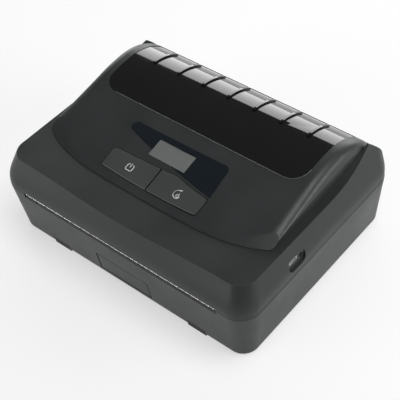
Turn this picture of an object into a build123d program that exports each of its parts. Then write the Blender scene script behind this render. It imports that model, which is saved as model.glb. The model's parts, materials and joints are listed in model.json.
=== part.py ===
from build123d import *
import math
import os

# A portable 4-inch label printer: a lower shell with the paper path, and a hinged lid above it.
# Millimetres. X runs left to right, Y runs from the front to the back, Z is up.
# The origin is on the ground, under the centre of the whole object.

# Overall sizes
WIDTH = 152.0
DEPTH = 116.0
HINGE_OUT = 2.4
BASE_BOTTOM = 1.0
SEAM = 31.0
SEAM_GAP = 0.3
SHOULDER = 47.3
WALL = 2.2
CLEAR = 0.3
FRONT = -(DEPTH + HINGE_OUT) / 2

# The plan outline is a rounded rectangle, drawn in by these amounts at three levels
SEAM_RADIUS = 11.0
BASE_INSET = 3.4
BASE_INSET_BACK = 2.0
BASE_RADIUS = 8.0
CREST_INSET = 4.0
CREST_INSET_FRONT = 5.7
CREST_BOW = 2.2
CREST_RADIUS = 9.3
LEAN_REACH = 0.95
LEAN_POWER = 2.4
LEAN_ABOVE = 4.0

# The hump over the label roll: a slope, a gentle arc up to the crown, and a round back
SLOPE = 13.0
CROWN_Y = 84.2
CROWN_Z = 60.4
RISE_RADIUS = 80.0
BACK_RADIUS = 31.8
CREST_RISE_Y = 68.0
CREST_MEET_Y = 103.8

# The raised top panel, its window and its console of buttons
PANEL_HALF = 67.9
PANEL_FRONT = 20.3
PANEL_SWEEP = 10.5
PANEL_CORNER = 4.0
PANEL_THICK = 2.0
PANEL_LIP = 0.3
PANEL_FRONT_RISE = 26.0
RIDGE_ROUND = 5.0
WINDOW_FRONT = 61.6
WINDOW_HALF = 59.9
WINDOW_RADIUS = 9.0
WINDOW_SINK = 0.25
WINDOW_THICK = 1.3
RIB_PITCH = 15.6
RIB_COUNT = 7
RIB_WIDTH = 1.2
RIB_PROUD = 0.9
BUTTON_GAP = 0.35
CONSOLE_HALF = 28.6
SCREEN_X = -0.9
SCREEN_Y = 25.7
SCREEN_WIDTH = 21.7
SCREEN_HEIGHT = 9.4

# The paper path
SLOT_HALF = 59.9
SLOT_HEIGHT = 1.9
PLATEN_Y = 15.0
PLATEN_Z = 24.5
PLATEN_RADIUS = 6.0
PLATEN_HALF = 55.0
SHAFT_RADIUS = 1.5
FIT = 0.05

# The gear train, all in one plane at the left end of the platen
GEAR_MODULE = 0.6
PLATEN_TEETH = 24
IDLER_TEETH = 36
PINION_TEETH = 12
STUD_RADIUS = 1.2
MOTOR_RADIUS = 6.2
MOTOR_SHAFT_RADIUS = 0.8
GEAR_X0 = -69.5
GEAR_X1 = -66.5
FRAME_X = 65.5
FRAME_THICK = 1.5
IDLER_ANGLE = -30.0
PINION_ANGLE = 200.0

# The label roll's cradle and its two centring guides
ROLL_Y = 72.0
ROLL_Z = 36.5
ROLL_RADIUS = 22.5
TRAY_THICK = 1.2
TRAY_HALF = 62.0
GUIDE_X = 59.5
GUIDE_THICK = 1.8
GUIDE_RADIUS = 17.0
RACK_MODULE = 0.7
RACK_TEETH = 10
RACK_Y = 46.0
RACK_Z0 = 12.0
RACK_Z1 = 15.0
GUIDE_TRAVEL = 28.0

# The battery, which slides out at the back
BATTERY_HALF = 36.0
BATTERY_FRONT = 57.0
BATTERY_Z0 = 3.5
BATTERY_Z1 = 12.3

# The hinge
HINGE_Y = DEPTH + 0.1
HINGE_RADIUS = 2.3
PIN_RADIUS = 1.0
HINGE_CENTRES = (-46.0, 46.0)
KNUCKLE = 7.0

# The release latch in the middle of the front
LATCH_HALF = 16.0
LATCH_Z0 = 4.0
LATCH_Z1 = 15.5
LATCH_BAR_Y0 = 5.2
LATCH_BAR_Y1 = 6.8
LATCH_STOP_Y = 12.0

LATCH_GAP = 0.45

# The rubber feet, let into the lower edge in front and behind
FOOT_X = 43.5
FOOT_HALF = 5.4
FOOT_DEPTH = 7.5
FOOT_TOP = 4.4

# The thermal head, hung in the lid over the platen
HEAD_HALF = 56.0
HEAD_PIVOT_Y = 33.0
HEAD_PIVOT_Z = 38.0
HEAD_BOTTOM = 30.85
SPRING_X = 30.0

# The socket bay in the lid's right side
PORT_Y0 = 32.6
PORT_Y1 = 44.6
PORT_Z0 = 34.4
PORT_Z1 = 42.8
PORT_DEPTH = 1.0
BOARD_Z0 = 40.9
BOARD_Z1 = 42.3


def back(distance):
    """Y of a point this far behind the front face."""
    return FRONT + distance


def block(x0, x1, y0, y1, z0, z1):
    """A box between two corners, with y measured from the front face."""
    size = Box(x1 - x0, y1 - y0, z1 - z0)
    return Pos((x0 + x1) / 2, back((y0 + y1) / 2), (z0 + z1) / 2) * size


def rod_x(x0, x1, y, z, radius):
    """A cylinder along X."""
    return Pos((x0 + x1) / 2, back(y), z) * Rot(0, 90, 0) * Cylinder(radius, x1 - x0)


def rod_z(x, y, z0, z1, radius):
    """A cylinder along Z."""
    return Pos(x, back(y), (z0 + z1) / 2) * Cylinder(radius, z1 - z0)


def outline(z, side, front, rear, radius, bow=0.0):
    """The plan outline at one level, as a face: drawn in on each edge, with a bowed front edge."""
    half = WIDTH / 2 - side
    y0 = back(front)
    y1 = back(DEPTH - rear)
    with BuildSketch(Plane.XY.offset(z)) as sketch:
        with BuildLine():
            if bow > 0:
                ends = ((-half + radius, y0), (0, y0 - bow), (half - radius, y0))
                Spline(*ends, tangents=((1, 0), (1, 0)))
            else:
                Line((-half + radius, y0), (half - radius, y0))
            RadiusArc((half - radius, y0), (half, y0 + radius), -radius)
            Line((half, y0 + radius), (half, y1 - radius))
            RadiusArc((half, y1 - radius), (half - radius, y1), -radius)
            Line((half - radius, y1), (-half + radius, y1))
            RadiusArc((-half + radius, y1), (-half, y1 - radius), -radius)
            Line((-half, y1 - radius), (-half, y0 + radius))
            RadiusArc((-half, y0 + radius), (-half + radius, y0), -radius)
        make_face()
    return sketch.sketch


def base_body(inset, z0, z1):
    """The lower shell's tapered form, drawn in by inset."""
    share0 = (SEAM - z0) / (SEAM - BASE_BOTTOM)
    share1 = (SEAM - z1) / (SEAM - BASE_BOTTOM)
    faces = []
    for z, share in ((z0, share0), (z1, share1)):
        side = BASE_INSET * share + inset
        rear = BASE_INSET_BACK * share + inset
        radius = SEAM_RADIUS + (BASE_RADIUS - SEAM_RADIUS) * share - inset
        faces.append(outline(z, side, side, rear, radius))
    return loft(faces, ruled=True)


def lean_share(level):
    """How far the lid's wall has leaned in at a level, as a share of its lean at the shoulder."""
    at_level = 1 - math.exp(-((level / LEAN_REACH) ** LEAN_POWER))
    at_shoulder = 1 - math.exp(-(LEAN_REACH ** -LEAN_POWER))
    return at_level / at_shoulder


def lid_body(inset, z0):
    """The lid's form before the hump is cut: upright at the seam and leaning in towards the shoulder."""
    faces = []
    for level in (0.0, 0.25, 0.5, 0.75, 1.0, 1.3, 1.6, 1.95):
        share = lean_share(level)
        side = CREST_INSET * share + LEAN_ABOVE * max(level - 1, 0) + inset
        front = CREST_INSET_FRONT * share + inset
        radius = SEAM_RADIUS + (CREST_RADIUS - SEAM_RADIUS) * share - inset
        bow = CREST_BOW * max(share, 0.03)
        faces.append(outline(z0 + (SHOULDER - z0) * level, side, front, inset, radius, bow))
    return loft(faces)


def slope_point(inset, z):
    """Where the panel's slope line, sunk by inset, crosses a level."""
    angle = math.radians(SLOPE)
    join_y = CROWN_Y - (RISE_RADIUS - inset) * math.sin(angle)
    join_z = CROWN_Z - RISE_RADIUS + (RISE_RADIUS - inset) * math.cos(angle)
    return join_y - (join_z - z) / math.tan(angle), join_y, join_z


def back_point(inset, z):
    """Where the round back, sunk by inset, crosses a level."""
    radius = BACK_RADIUS - inset
    rise = z - (CROWN_Z - BACK_RADIUS)
    return CROWN_Y + math.sqrt(radius * radius - rise * rise)


def arc_mid(centre_y, centre_z, radius, angle_a, angle_b):
    """The middle point of an arc, given by angles from upright, in degrees."""
    angle = math.radians((angle_a + angle_b) / 2)
    return back(centre_y + radius * math.sin(angle)), centre_z + radius * math.cos(angle)


def hump_profile(inset, floor_z, half):
    """The hump's side profile as a solid between x = -half and x = half."""
    start_y, join_y, join_z = slope_point(inset, floor_z)
    end_y = back_point(inset, floor_z)
    crown = (back(CROWN_Y), CROWN_Z - inset)
    rise_mid = arc_mid(CROWN_Y, CROWN_Z - RISE_RADIUS, RISE_RADIUS - inset, -SLOPE, 0)
    back_centre = CROWN_Z - BACK_RADIUS
    end_angle = math.degrees(math.acos((floor_z - back_centre) / (BACK_RADIUS - inset)))
    fall_mid = arc_mid(CROWN_Y, back_centre, BACK_RADIUS - inset, 0, end_angle)
    with BuildSketch(Plane.YZ) as sketch:
        with BuildLine():
            Line((back(start_y), floor_z), (back(join_y), join_z))
            ThreePointArc((back(join_y), join_z), rise_mid, crown)
            ThreePointArc(crown, fall_mid, (back(end_y), floor_z))
            Line((back(end_y), floor_z), (back(start_y), floor_z))
        make_face()
    return extrude(sketch.sketch, half, both=True)


def ridge_section(x, drop):
    """The hump's side profile at one x, lowered by drop over the roll and not at all in front."""
    start_y, join_y, join_z = slope_point(0.0, SHOULDER)
    radius = BACK_RADIUS - drop
    centre_z = CROWN_Z - BACK_RADIUS
    end_y = CROWN_Y + math.sqrt(radius ** 2 - (SHOULDER - centre_z) ** 2)
    end_angle = math.degrees(math.acos((SHOULDER - centre_z) / radius))
    rise_y, rise_z = arc_mid(CROWN_Y, CROWN_Z - RISE_RADIUS, RISE_RADIUS, -SLOPE, 0)
    crown = (back(CROWN_Y), CROWN_Z - drop)
    join = (back(join_y), join_z - drop)
    with BuildSketch(Plane.YZ.offset(x)) as sketch:
        with BuildLine():
            Line((back(start_y), SHOULDER), join)
            ThreePointArc(join, (rise_y, rise_z - drop), crown)
            ThreePointArc(crown, arc_mid(CROWN_Y, centre_z, radius, 0, end_angle), (back(end_y), SHOULDER))
            Line((back(end_y), SHOULDER), (back(start_y), SHOULDER))
        make_face()
    return sketch.sketch


def rounded_hump():
    """The raised panel's outer form: the hump with its two long ridges rounded off, cut to the plan."""
    flat_half = PANEL_HALF - RIDGE_ROUND - 0.05
    sections = []
    for step in range(5):
        angle = math.radians(22.5 * step)
        drop = RIDGE_ROUND * (1 - math.cos(angle))
        sections.append(ridge_section(flat_half + RIDGE_ROUND * math.sin(angle), drop))
    plan = panel_plan(0.0, SHOULDER - 1, CROWN_Z + 5)
    middle = hump_profile(0.0, SHOULDER, flat_half) & plan & front_rise()
    side = loft(sections) & plan & front_rise()
    return middle + side + mirror(side, about=Plane.YZ)


def front_rise():
    """A wedge that lets the panel start as a thin lip and rise gently from its swept front edge."""
    faces = []
    run = 45.0
    for shift in (0.0, run):
        points = []
        for step in range(-7, 8):
            x = 80.0 * step / 7
            sweep = PANEL_SWEEP * (x / PANEL_HALF) ** 4
            points.append((x, back(PANEL_FRONT - 0.05 + sweep + shift)))
        z = SHOULDER + PANEL_LIP + shift * math.tan(math.radians(PANEL_FRONT_RISE))
        rear = back(DEPTH + 40)
        with BuildSketch(Plane.XY.offset(z)) as sketch:
            with BuildLine():
                Spline(*points)
                Polyline(points[-1], (80.0, rear), (-80.0, rear), points[0])
            make_face()
        faces.append(sketch.sketch)
    return extrude(faces[0], -3) + loft(faces, ruled=True)


def crest_profile(inset, z0):
    """The lid shell's side profile: a level shoulder that climbs at the back to meet the hump."""
    top = SHOULDER - inset
    rise_y = CREST_RISE_Y
    meet_y = CREST_MEET_Y - inset
    centre_z = CROWN_Z - BACK_RADIUS
    radius = BACK_RADIUS - inset
    meet_z = centre_z + math.sqrt(radius ** 2 - (meet_y - CROWN_Y) ** 2)
    start_angle = math.degrees(math.asin((meet_y - CROWN_Y) / radius))
    end_angle = math.degrees(math.acos((z0 - centre_z) / radius))
    end_y = back_point(inset, z0)
    with BuildSketch(Plane.YZ) as sketch:
        with BuildLine():
            Line((back(-5), z0), (back(-5), top))
            Line((back(-5), top), (back(rise_y), top))
            TangentArc((back(rise_y), top), (back(meet_y), meet_z), tangent=(1, 0))
            mid = arc_mid(CROWN_Y, centre_z, radius, start_angle, end_angle)
            ThreePointArc((back(meet_y), meet_z), mid, (back(end_y), z0))
            Line((back(end_y), z0), (back(-5), z0))
        make_face()
    return extrude(sketch.sketch, WIDTH, both=True)


def panel_plan(grow, z0, z1):
    """The raised panel's plan: straight sides and a front edge that sweeps back towards the corners."""
    half = PANEL_HALF + grow
    points = []
    for step in range(-6, 7):
        x = half * step / 6
        points.append((x, back(PANEL_FRONT - grow + PANEL_SWEEP * (step / 6) ** 4)))
    rear = back(DEPTH + 5)
    with BuildSketch(Plane.XY.offset(z0)) as sketch:
        with BuildLine():
            Spline(*points)
            Polyline(points[-1], (half, rear), (-half, rear), points[0])
        make_face()
        fillet(sketch.vertices().sort_by(Axis.Y)[:2], PANEL_CORNER + grow)
    return extrude(sketch.sketch, z1 - z0)


def window_plan(grow, z0, rear_y):
    """The window's plan, with rounded front corners, as a tall block."""
    half = WINDOW_HALF + grow
    y0 = back(WINDOW_FRONT - grow)
    y1 = back(rear_y)
    with BuildSketch(Plane.XY.offset(z0)) as sketch:
        with Locations((0, (y0 + y1) / 2)):
            Rectangle(2 * half, y1 - y0)
        fillet(sketch.vertices().sort_by(Axis.Y)[:2], WINDOW_RADIUS + grow)
    return extrude(sketch.sketch, CROWN_Z + 5 - z0)


def slope_plane(height=0.0):
    """A plane on the panel's slope: x across, y up the slope from the panel's front edge."""
    angle = math.radians(SLOPE)
    start_y, join_y, join_z = slope_point(0.0, 47.8)
    normal = (0, -math.sin(angle), math.cos(angle))
    origin = (0, back(start_y) + height * normal[1], 47.8 + height * normal[2])
    return Plane(origin=origin, x_dir=(1, 0, 0), z_dir=normal)


def lens_face(grow):
    """The display lens: a straight top edge, a blunt right end and a long curve to a point at the left."""
    with BuildSketch() as sketch:
        with BuildLine():
            Line((-25.8, 33.4), (23.5, 33.9))
            ThreePointArc((23.5, 33.9), (26.6, 33.3), (27.6, 30.6))
            Line((27.6, 30.6), (28.8, 16.3))
            ThreePointArc((28.8, 16.3), (8.3, 19.7), (-28.8, 28.6))
            ThreePointArc((-28.8, 28.6), (-29.7, 30.4), (-25.8, 33.4))
        make_face()
        if grow:
            offset(amount=grow)
    return sketch.sketch


def screen_face(grow):
    """The display's visible window."""
    return Pos(SCREEN_X, SCREEN_Y) * Rectangle(SCREEN_WIDTH + 2 * grow, SCREEN_HEIGHT + 2 * grow)


def power_face(grow):
    """The left key, bowed along its front edge."""
    with BuildSketch() as sketch:
        with BuildLine():
            ThreePointArc((-CONSOLE_HALF, 5.4), (-14.0, 4.6), (-0.6, 4.4))
            Line((-0.6, 4.4), (-0.9, 17.2))
            Line((-0.9, 17.2), (-29.2, 16.2))
            Line((-29.2, 16.2), (-CONSOLE_HALF, 5.4))
        make_face()
        fillet(sketch.vertices().sort_by(Axis.X)[:2], 1.5)
        if grow:
            offset(amount=grow)
    return sketch.sketch


def feed_face(grow):
    """The right key, whose back edge follows the lens."""
    with BuildSketch() as sketch:
        with BuildLine():
            ThreePointArc((0.2, 4.4), (14.0, 4.6), (CONSOLE_HALF, 5.4))
            Line((CONSOLE_HALF, 5.4), (28.6, 14.9))
            ThreePointArc((28.6, 14.9), (18.8, 16.0), (9.0, 18.0))
            Line((9.0, 18.0), (0.0, 17.3))
            Line((0.0, 17.3), (0.2, 4.4))
        make_face()
        fillet(sketch.vertices().sort_by(Axis.X)[-2:], 1.2)
        if grow:
            offset(amount=grow)
    return sketch.sketch


def on_slope(face, low, high):
    """Raise a face that is drawn in slope coordinates into a solid between two heights over the slope."""
    return slope_plane(low) * extrude(face, high - low)


def gear(teeth, module, x0, x1, y, z, bore, phase):
    """A spur gear about X. phase is the angle of one tooth's middle, in degrees from +Y towards +Z."""
    pitch = teeth * module / 2
    root = pitch - 1.2 * module
    tip = pitch + 0.85 * module
    step = 2 * math.pi / teeth
    points = []
    for tooth in range(teeth):
        middle = math.radians(phase) + tooth * step
        for radius, share in ((root, -0.30), (tip, -0.11), (tip, 0.11), (root, 0.30)):
            angle = middle + share * step
            points.append((back(y) + radius * math.cos(angle), z + radius * math.sin(angle)))
    with BuildSketch(Plane.YZ.offset(x0)) as sketch:
        with BuildLine():
            Polyline(*points, close=True)
        make_face()
        with Locations((back(y), z)):
            Circle(bore, mode=Mode.SUBTRACT)
    return extrude(sketch.sketch, x1 - x0)


def coil(radius, wire, length, turns):
    """A compression spring along Z from the origin."""
    path = Helix(pitch=(length - wire * 2) / turns, height=length - wire * 2, radius=radius)
    section = Plane(origin=path @ 0, z_dir=path % 0) * Circle(wire)
    return Pos(0, 0, wire) * sweep(section, path=path)


def gear_places():
    """Centres of the idler and the motor pinion, from the platen and the two angles."""
    first = (PLATEN_TEETH + IDLER_TEETH) * GEAR_MODULE / 2
    second = (IDLER_TEETH + PINION_TEETH) * GEAR_MODULE / 2
    idler_y = PLATEN_Y + first * math.cos(math.radians(IDLER_ANGLE))
    idler_z = PLATEN_Z + first * math.sin(math.radians(IDLER_ANGLE))
    pinion_y = idler_y + second * math.cos(math.radians(PINION_ANGLE))
    pinion_z = idler_z + second * math.sin(math.radians(PINION_ANGLE))
    return idler_y, idler_z, pinion_y, pinion_z


def knuckle_spans(centre):
    """Three knuckles side by side: the outer two are the base's and the middle one is the lid's."""
    left = centre - 1.5 * KNUCKLE
    spans = []
    for index in range(3):
        spans.append((left + index * KNUCKLE + 0.15, left + (index + 1) * KNUCKLE - 0.15))
    return spans


def make_base_shell():
    shell = base_body(0.0, BASE_BOTTOM, SEAM - SEAM_GAP / 2)
    shell = fillet(shell.faces().sort_by(Axis.Z)[0].edges(), 1.2)
    shell -= base_body(WALL, BASE_BOTTOM + WALL, SEAM + 1)
    # Paper slot in the front edge, with a bevelled lip below it
    shell -= block(-SLOT_HALF, SLOT_HALF, -1, WALL + 1.5, SEAM - SLOT_HEIGHT, SEAM + 1)
    lip = Pos(0, back(0), SEAM - SLOT_HEIGHT) * Rot(45, 0, 0) * Box(2 * SLOT_HALF, 1.5, 1.5)
    shell -= lip
    # Opening for the latch, and four notches in the lower edge for the feet
    gap = LATCH_GAP
    shell -= block(-LATCH_HALF - gap, LATCH_HALF + gap, -1, 7, LATCH_Z0 - gap, LATCH_Z1 + gap)
    for x, y0, y1 in foot_places():
        notch = block(x - FOOT_HALF - 0.1, x + FOOT_HALF + 0.1, y0 - 0.1, y1 + 0.1, 0, FOOT_TOP + 0.1)
        shell -= notch
    # Battery bay at the back, with a rib on each side
    bay = BATTERY_HALF + CLEAR
    shell -= block(-bay, bay, BATTERY_FRONT, DEPTH + 5, BATTERY_Z0 - CLEAR, BATTERY_Z1 + CLEAR)
    for side in (-1, 1):
        x = side * (bay + 0.75)
        shell += block(x - 0.75, x + 0.75, BATTERY_FRONT, DEPTH - 3, 3.0, BATTERY_Z1)
    # Hinge knuckles, and room for the lid's own knuckle between them
    for centre in HINGE_CENTRES:
        left, middle, right = knuckle_spans(centre)
        shell -= rod_x(left[0] - 0.3, right[1] + 0.3, HINGE_Y, SEAM, HINGE_RADIUS + 0.4)
        for span in (left, right):
            shell += rod_x(span[0], span[1], HINGE_Y, SEAM, HINGE_RADIUS)
            arm = block(span[0], span[1], DEPTH - WALL - 0.3, HINGE_Y, SEAM - 4.5, SEAM - 0.2)
            shell += arm
        shell -= rod_x(left[0] - 1, right[1] + 1, HINGE_Y, SEAM, PIN_RADIUS)
    # Screw wells in the floor
    for x, y in screw_places():
        shell += rod_z(x, y, BASE_BOTTOM + 1, 8.0, 3.4)
        shell -= rod_z(x, y, 0, 3.4, 2.6)
        shell -= rod_z(x, y, 0, 9.0, 1.3)
    return shell


def foot_places():
    """Centre x, and front and back y, of each foot: two under the front edge and two under the rear."""
    places = []
    for x in (-FOOT_X, FOOT_X):
        places.append((x, 0.0, FOOT_DEPTH))
        places.append((x, DEPTH - FOOT_DEPTH, DEPTH))
    return places


def screw_places():
    return [(x, y) for x in (-58.0, 58.0) for y in (42.5, 90.0)]


def make_base_screws():
    screws = []
    for x, y in screw_places():
        head = rod_z(x, y, 1.4, 3.4, 2.5) + rod_z(x, y, 3.4, 8.0, 1.3)
        head -= Pos(x, back(y), 1.4) * Box(0.7, 3.4, 1.4)
        head -= Pos(x, back(y), 1.4) * Box(3.4, 0.7, 1.4)
        screws.append(head)
    return Compound(children=screws)


def make_feet():
    feet = []
    for x, y0, y1 in foot_places():
        foot = block(x - FOOT_HALF, x + FOOT_HALF, y0, y1, 0, FOOT_TOP)
        foot = fillet(foot.edges().filter_by(Axis.Z), 0.8)
        feet.append(foot & base_body(0.05, 0, SEAM))
    return Compound(children=feet)


def make_battery():
    pack = block(-BATTERY_HALF, BATTERY_HALF, BATTERY_FRONT + CLEAR, DEPTH + 5, BATTERY_Z0, BATTERY_Z1)
    pack &= base_body(0.0, BASE_BOTTOM, SEAM)
    edges = pack.edges().filter_by(Axis.Y)
    pack = fillet(edges, 1.2)
    # Thumb groove under the pack, behind
    pack -= rod_x(-9, 9, DEPTH - 7, BATTERY_Z0 - 3.4, 4.2)
    return pack


def make_battery_contacts():
    parts = [block(-12, 12, 53.5, 56.0, 3.2, 11.0)]
    for index in range(4):
        x = -7.5 + 5 * index
        parts[0] += block(x - 0.8, x + 0.8, 56.0, 57.2, 5.5, 8.5)
    return parts[0]


def make_mechanism_frame():
    idler_y, idler_z, pinion_y, pinion_z = gear_places()
    frame = block(-FRAME_X, FRAME_X, 8.5, 38.0, 3.2, 4.2)
    for side in (-1, 1):
        inner = side * (FRAME_X - FRAME_THICK)
        outer = side * FRAME_X
        x0, x1 = min(inner, outer), max(inner, outer)
        frame += block(x0, x1, 8.5, 38.0, 3.2, 29.5)
        frame -= rod_x(x0 - 1, x1 + 1, PLATEN_Y, PLATEN_Z, 3.0)
        frame -= block(x0 - 1, x1 + 1, 24.5, 33.0, 20.5, 27.0)
    # Tab behind the latch's springs
    frame += block(-11, 11, LATCH_STOP_Y, LATCH_STOP_Y + 1.2, 3.6, 13.5)
    # Stud that carries the idler, with a cap, and the hole for the motor's nose
    frame += rod_x(GEAR_X0 - 0.6, -FRAME_X, idler_y, idler_z, STUD_RADIUS)
    frame -= rod_x(-FRAME_X - 1, -FRAME_X + 4, pinion_y, pinion_z, 2.0)
    return frame


def make_bushes():
    bushes = []
    for side in (-1, 1):
        x0 = side * FRAME_X if side < 0 else FRAME_X - FRAME_THICK
        bush = rod_x(x0, x0 + FRAME_THICK, PLATEN_Y, PLATEN_Z, 3.0)
        bush -= rod_x(x0 - 1, x0 + FRAME_THICK + 1, PLATEN_Y, PLATEN_Z, SHAFT_RADIUS + FIT)
        bushes.append(bush)
    return Compound(children=bushes)


def make_platen_shaft():
    shaft = rod_x(GEAR_X0 - 0.5, FRAME_X + 1.5, PLATEN_Y, PLATEN_Z, SHAFT_RADIUS)
    shaft += rod_x(-FRAME_X + FRAME_THICK + 0.5, FRAME_X - FRAME_THICK - 0.5, PLATEN_Y, PLATEN_Z, 2.4)
    return shaft


def make_platen_rubber():
    sleeve = rod_x(-PLATEN_HALF, PLATEN_HALF, PLATEN_Y, PLATEN_Z, PLATEN_RADIUS)
    sleeve = chamfer(sleeve.edges().filter_by(GeomType.CIRCLE), 0.4)
    return sleeve - rod_x(-PLATEN_HALF - 1, PLATEN_HALF + 1, PLATEN_Y, PLATEN_Z, 2.4)


def make_gears():
    """The three gears, each turned so that a tooth of one meets a gap of the next."""
    idler_y, idler_z, pinion_y, pinion_z = gear_places()
    place = (GEAR_MODULE, GEAR_X0, GEAR_X1)
    platen = gear(PLATEN_TEETH, *place, PLATEN_Y, PLATEN_Z, SHAFT_RADIUS, IDLER_ANGLE)
    half_gap = 180.0 / IDLER_TEETH
    idler_phase = IDLER_ANGLE + 180.0 + half_gap
    idler = gear(IDLER_TEETH, *place, idler_y, idler_z, STUD_RADIUS + FIT, idler_phase)
    # The pinion's gap faces the idler tooth nearest to the line of centres
    step = 360.0 / IDLER_TEETH
    nearest = idler_phase + step * round((PINION_ANGLE - idler_phase) / step)
    turn = (nearest - PINION_ANGLE) * IDLER_TEETH / PINION_TEETH
    pinion_phase = PINION_ANGLE + 180.0 + 180.0 / PINION_TEETH - turn
    pinion = gear(PINION_TEETH, *place, pinion_y, pinion_z, MOTOR_SHAFT_RADIUS, pinion_phase)
    return platen, idler, pinion


def make_motor():
    idler_y, idler_z, pinion_y, pinion_z = gear_places()
    inner = -FRAME_X + FRAME_THICK
    motor = rod_x(inner, inner + 24, pinion_y, pinion_z, MOTOR_RADIUS)
    motor = chamfer(motor.edges().filter_by(GeomType.CIRCLE), 0.5)
    motor += rod_x(inner - 1.2, inner, pinion_y, pinion_z, 2.0)
    motor -= rod_x(inner - 2, inner + 6, pinion_y, pinion_z, MOTOR_SHAFT_RADIUS + FIT)
    return motor


def make_motor_shaft():
    idler_y, idler_z, pinion_y, pinion_z = gear_places()
    x1 = -FRAME_X + FRAME_THICK + 5.5
    return rod_x(GEAR_X0 - 0.3, x1, pinion_y, pinion_z, MOTOR_SHAFT_RADIUS)


def make_exit_chute():
    """The lower guide that carries a label from the platen out to the slot."""
    chute = block(-57.5, 57.5, 2.9, 7.6, 27.3, 28.6)
    for side in (-1, 1):
        chute += block(side * 40 - 2, side * 40 + 2, 3.8, 7.6, 22.0, 27.3)
    return chute


def make_media_sensor():
    sensor = block(-6, 6, 25.0, 33.0, 25.2, 27.6)
    sensor += block(-2, 2, 27.0, 31.0, 4.2, 25.2)
    sensor -= block(-3.5, -1.5, 27.5, 30.5, 27.0, 28)
    sensor -= block(1.5, 3.5, 27.5, 30.5, 27.0, 28)
    return sensor


def make_roll_tray():
    outer = rod_x(-TRAY_HALF, TRAY_HALF, ROLL_Y, ROLL_Z, ROLL_RADIUS + TRAY_THICK)
    inner = rod_x(-TRAY_HALF - 1, TRAY_HALF + 1, ROLL_Y, ROLL_Z, ROLL_RADIUS)
    tray = outer - inner
    tray &= block(-TRAY_HALF, TRAY_HALF, 53.2, 110, 5, 25.5)
    for side in (-1, 1):
        for y in (60.0, 84.0):
            tray += block(side * 50 - 8, side * 50 + 8, y - 0.8, y + 0.8, 3.2, 17.0) - inner
    return tray


def make_guide(side):
    """One media guide: a disc with a hub, an arm over the tray's edge, a leg and a toothed rack."""
    x_out = side * (GUIDE_X + GUIDE_THICK / 2)
    x_in = side * (GUIDE_X - GUIDE_THICK / 2)
    x0, x1 = min(x_out, x_in), max(x_out, x_in)
    guide = rod_x(x0, x1, ROLL_Y, ROLL_Z, GUIDE_RADIUS)
    for index in range(6):
        angle = math.radians(60 * index)
        y = ROLL_Y + 11.5 * math.cos(angle)
        z = ROLL_Z + 11.5 * math.sin(angle)
        guide -= rod_x(x0 - 1, x1 + 1, y, z, 3.2)
    hub_tip = side * (GUIDE_X - GUIDE_THICK / 2 - 5)
    guide += rod_x(min(hub_tip, x_in), max(hub_tip, x_in), ROLL_Y, ROLL_Z, 5.5)
    guide += block(x0, x1, 40.0, 57.5, 27.5, 33.0)
    pitch_radius = RACK_TEETH * RACK_MODULE / 2
    if side < 0:
        y0, y1 = 39.4, 45.0
        bar0, bar1 = 39.4, RACK_Y - pitch_radius - 1.2 * RACK_MODULE
        tip_y = RACK_Y - pitch_radius + 0.85 * RACK_MODULE
    else:
        y0, y1 = 47.0, 52.6
        bar0, bar1 = RACK_Y + pitch_radius + 1.2 * RACK_MODULE, 52.6
        tip_y = RACK_Y + pitch_radius - 0.85 * RACK_MODULE
    guide += block(x0, x1, y0, y1, RACK_Z0, 33.0)
    far = -side * 5.0
    guide += block(min(far, x_in), max(far, x_in), bar0, bar1, RACK_Z0, RACK_Z1)
    # Teeth, spaced so that a gap faces the pinion's tooth at x = 0
    root_y = bar1 if side < 0 else bar0
    step = math.pi * RACK_MODULE
    count = int((GUIDE_TRAVEL + 8.0) / step)
    shift = step / 2
    low = -(GUIDE_TRAVEL + 4.0) if side < 0 else -4.0
    index0 = math.ceil((low - shift) / step)
    for index in range(index0, index0 + count):
        x = shift + index * step
        with BuildSketch(Plane.XY.offset(RACK_Z0)) as tooth:
            with BuildLine():
                Polyline(
                    (x - 0.30 * step, back(root_y)),
                    (x - 0.12 * step, back(tip_y)),
                    (x + 0.12 * step, back(tip_y)),
                    (x + 0.30 * step, back(root_y)),
                    close=True,
                )
            make_face()
        guide += extrude(tooth.sketch, RACK_Z1 - RACK_Z0)
    return guide


def make_guide_pinion():
    pitch = RACK_TEETH * RACK_MODULE / 2
    root = pitch - 1.2 * RACK_MODULE
    tip = pitch + 0.85 * RACK_MODULE
    step = 2 * math.pi / RACK_TEETH
    points = []
    for tooth in range(RACK_TEETH):
        middle = math.pi / 2 + tooth * step
        for radius, share in ((root, -0.28), (tip, -0.09), (tip, 0.09), (root, 0.28)):
            angle = middle + share * step
            points.append((radius * math.cos(angle), back(RACK_Y) + radius * math.sin(angle)))
    with BuildSketch(Plane.XY.offset(RACK_Z0)) as sketch:
        with BuildLine():
            Polyline(*points, close=True)
        make_face()
        with Locations((0, back(RACK_Y))):
            Circle(1.2 + FIT, mode=Mode.SUBTRACT)
    return extrude(sketch.sketch, RACK_Z1 - RACK_Z0)


def make_guide_rail():
    """The plate under the racks, with a lip along each side and the pinion's stud."""
    rail = block(-63, 63, 38.6, 53.4, 9.8, 11.7)
    rail += block(-63, 63, 38.6, 39.1, 11.7, 13.0)
    rail += block(-63, 63, 52.9, 53.4, 11.7, 13.0)
    rail += rod_z(0, RACK_Y, 11.7, RACK_Z1 + 0.6, 1.2)
    for x in (-48.0, -16.0, 16.0, 48.0):
        rail += block(x - 1.5, x + 1.5, 39.5, 52.0, 3.2, 9.8)
    return rail


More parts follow.
